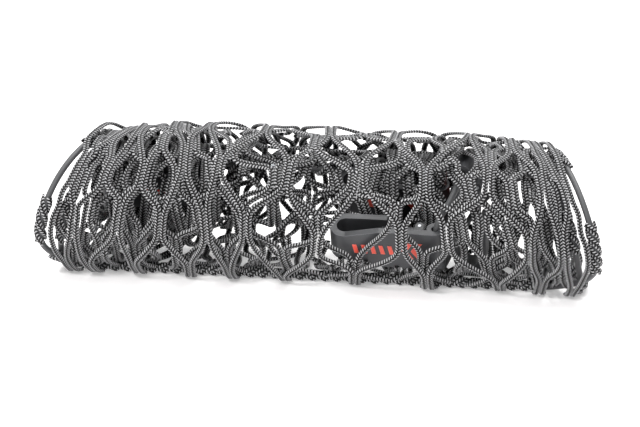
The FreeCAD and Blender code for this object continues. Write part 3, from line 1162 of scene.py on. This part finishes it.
    def edge_wraps(self) -> list[Strand]:
        """Windings that hold the net's edges on the rim cord.

        Every other end bar is wound over, each line of knots at the inner edge too, and
        the whole outer edge runs in a sleeve of three cords.
        """
        draw = np.random.default_rng(self.seed + 1)
        found = []
        for line in (0, self.wales):
            for row in range(self.rows + 1):
                along = self.row_places[row] + self.shift_along[line, row]
                if (row + line) % 2 == 0 or along > self.lengths[-1] - self.inner_clear:
                    continue
                length, pitch = draw.uniform(*self.bar_wind), draw.uniform(*self.bar_lay)
                found += self.wraps(self.surface(line, along, 0.0)[0], length, pitch, 3)
        for line in range(1, self.wales):
            near, _ = self.surface(line + draw.normal(0.0, self.scatter_inner), self.lengths[-1], 0.0)
            found += self.wraps(near, self.inner_wind, self.inner_lay, 2, draw.uniform(0.0, 6.0))
        middle, _ = self.surface(self.wales / 2.0, 0.0, 0.0)
        return found + self.wraps(middle, 2.0 * self.roll.half_length, self.sleeve_lay, 3)

    def make(self, name: str, strands: list[Strand], finish: Material) -> None:
        """Makes one piece of netting, with its material and body, and hides the CAD stand-ins.

        Args:
            name: the piece's name.
            strands: each cord's points in metres and outward directions.
            finish: the yarn's material.
        """
        section = oval_section(np.radians(self.ring_turns), self.cord_width, self.cord_depth)
        piece = strand_mesh(name, [line for line, _ in strands], section, StitchShape(),
                            [normals for _, normals in strands])
        piece.data.materials.append(finish)
        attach(piece, NET_BODY)
        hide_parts("net_outer_ply", "net_second_ply", "net_third_ply", "net_core_ply")
        log.info("%s has %d faces", piece.name, len(piece.data.polygons))

    def build(self, finish: Material) -> None:
        """Makes the whole net as a few pieces of neighbouring cords.

        Args:
            finish: the yarn's material.
        """
        share = math.ceil(self.wales / self.pieces)
        for number in range(self.pieces):
            group = range(number * share, min((number + 1) * share, self.wales))
            self.make("net_cords_%d" % (number + 1), [self.cord_line(index) for index in group], finish)
        draw = np.random.default_rng(self.seed + 2)
        for number, pleat in enumerate(self.pleats):
            lines = [self.pleat_line(pleat, index, draw) for index in range(pleat.wales)]
            self.make("net_pleat_%d" % (number + 1), lines, finish)
        wraps = self.edge_wraps()
        for number in range(2):
            self.make("net_edge_wraps_%d" % (number + 1), wraps[number::2], finish)


# ------------ hooks


def dress(node: str, finish: Material) -> None:
    """Gives a CAD node its material."""
    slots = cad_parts[node].data.materials
    slots.clear()
    slots.append(finish)
    log.info("%s is %s", node, finish.name)


@dataclass
class Hooks:
    """Finishes of the hooks' moulded and metal pieces."""

    count: int = 4

    def dress(self, nylon: Material, red: Material, steel: Material) -> None:
        """Gives each hook's pieces their materials.

        Args:
            nylon: the moulding's material.
            red: the raised mark's material.
            steel: the pin's and spring's material.
        """
        finishes = {"body": nylon, "gate": nylon, "mark": red, "gate_pin": steel, "gate_spring": steel}
        for number in range(1, self.count + 1):
            for part, finish in finishes.items():
                dress("hook_%d_%s" % (number, part), finish)


# ------------ studio


@dataclass
class Studio:
    """Pale floor, soft light and the camera."""

    azimuth: float = 8.0
    elevation: float = 20.0
    distance: float = 4.0
    # the view's width at the roll, and how far right and up of the roll's middle it aims
    view_width_mm: float = 512.0
    aim_shift_mm: Pair = (-4.8, -8.4)
    sensor_mm: float = 36.0
    far_clip: float = 50.0
    floor_size: float = 12.0
    # the floor's glow, painted light that lifts its shadows
    floor_glow: float = 0.3
    floor_roughness: float = 0.9
    sky_strength: float = 0.55

    def camera(self) -> None:
        """Puts up the camera, aimed so that the roll sits where it should in the frame."""
        data = bpy.data.cameras.new("camera")
        eye = in_scene("camera", data)
        az, el = math.radians(self.azimuth), math.radians(self.elevation)
        back = Vector((math.sin(az) * math.cos(el), -math.cos(az) * math.cos(el), math.sin(el)))
        rotation = (-back).to_track_quat("-Z", "Y")
        low, high = cad_box
        centre = (Vector(low) + Vector(high)) / 2.0
        aim = centre + rotation @ Vector((*self.aim_shift_mm, 0.0)) * MM
        eye.location = aim + back * self.distance
        eye.rotation_mode = "QUATERNION"
        eye.rotation_quaternion = rotation
        data.sensor_width = self.sensor_mm
        data.lens = self.sensor_mm * self.distance / (self.view_width_mm * MM)
        data.clip_end = self.far_clip
        bpy.context.scene.camera = eye

    def light(self, name: str, place: Point, size: float, watts: float) -> None:
        """Adds a soft square light that faces the roll.

        Args:
            name: the light's name.
            place: where it hangs, in metres.
            size: its side, in metres.
            watts: its power.
        """
        data = bpy.data.lights.new(name, "AREA")
        data.size = size
        data.energy = watts
        lamp = in_scene(name, data)
        lamp.location = place
        lamp.rotation_mode = "QUATERNION"
        lamp.rotation_quaternion = (-Vector(place)).to_track_quat("-Z", "Y")

    def build(self) -> None:
        """Makes the floor, the sky and the lights."""
        bpy.ops.object.select_all(action="DESELECT")
        bpy.ops.mesh.primitive_plane_add(size=self.floor_size, location=(0.0, 0.0, 0.0))
        floor = bpy.context.object
        floor.name = "studio_floor"
        # matt white backdrop paper, which bounces light up into the net; it is also made to glow a
        # little, painted light that lifts the floor where shadow falls
        floor.data.materials.append(Graph("white_paper").finish({
            "Base Color": linear("#f4f2f2"), "Roughness": self.floor_roughness,
            "Emission Color": linear("#ffffff"), "Emission Strength": self.floor_glow}))
        world = bpy.data.worlds.new("studio_sky")
        bpy.context.scene.world = world
        world.use_nodes = True
        sky = world.node_tree.nodes["Background"]
        sky.inputs["Color"].default_value = linear("#ffffff")
        sky.inputs["Strength"].default_value = self.sky_strength
        self.light("top_back_softbox", (0.1, 0.5, 1.6), 1.4, 40.0)
        self.light("front_left_softbox", (-0.8, -1.4, 1.6), 0.5, 29.0)
        bpy.context.scene.view_settings.view_transform = "Standard"


def main() -> None:
    """Builds the looks in order: camera and cord first, then the net, hooks and studio."""
    studio = Studio()
    studio.camera()
    roll = Roll()
    rim = RimCord(roll)
    rim.build(BraidedCover().build())
    NetSheet(roll, rim).build(KnittedPolyester().build())
    steel = ZincedSteel().build()
    # each moulding's last colour is the pale painted highlight along its edges
    nylon = MouldedPlastic("moulded_nylon", "#434447", "#353638", "#75767a")
    # the raised mark, taken to be the same nylon coloured red, a little smoother
    red = MouldedPlastic("moulded_mark", "#f0604f", "#e04a3c", "#f58a7c", 0.38)
    Hooks().dress(nylon.build(), red.build(), steel)
    dress("rim_cord_ferrule", steel)
    studio.build()


if __name__ == "__main__":
    main()
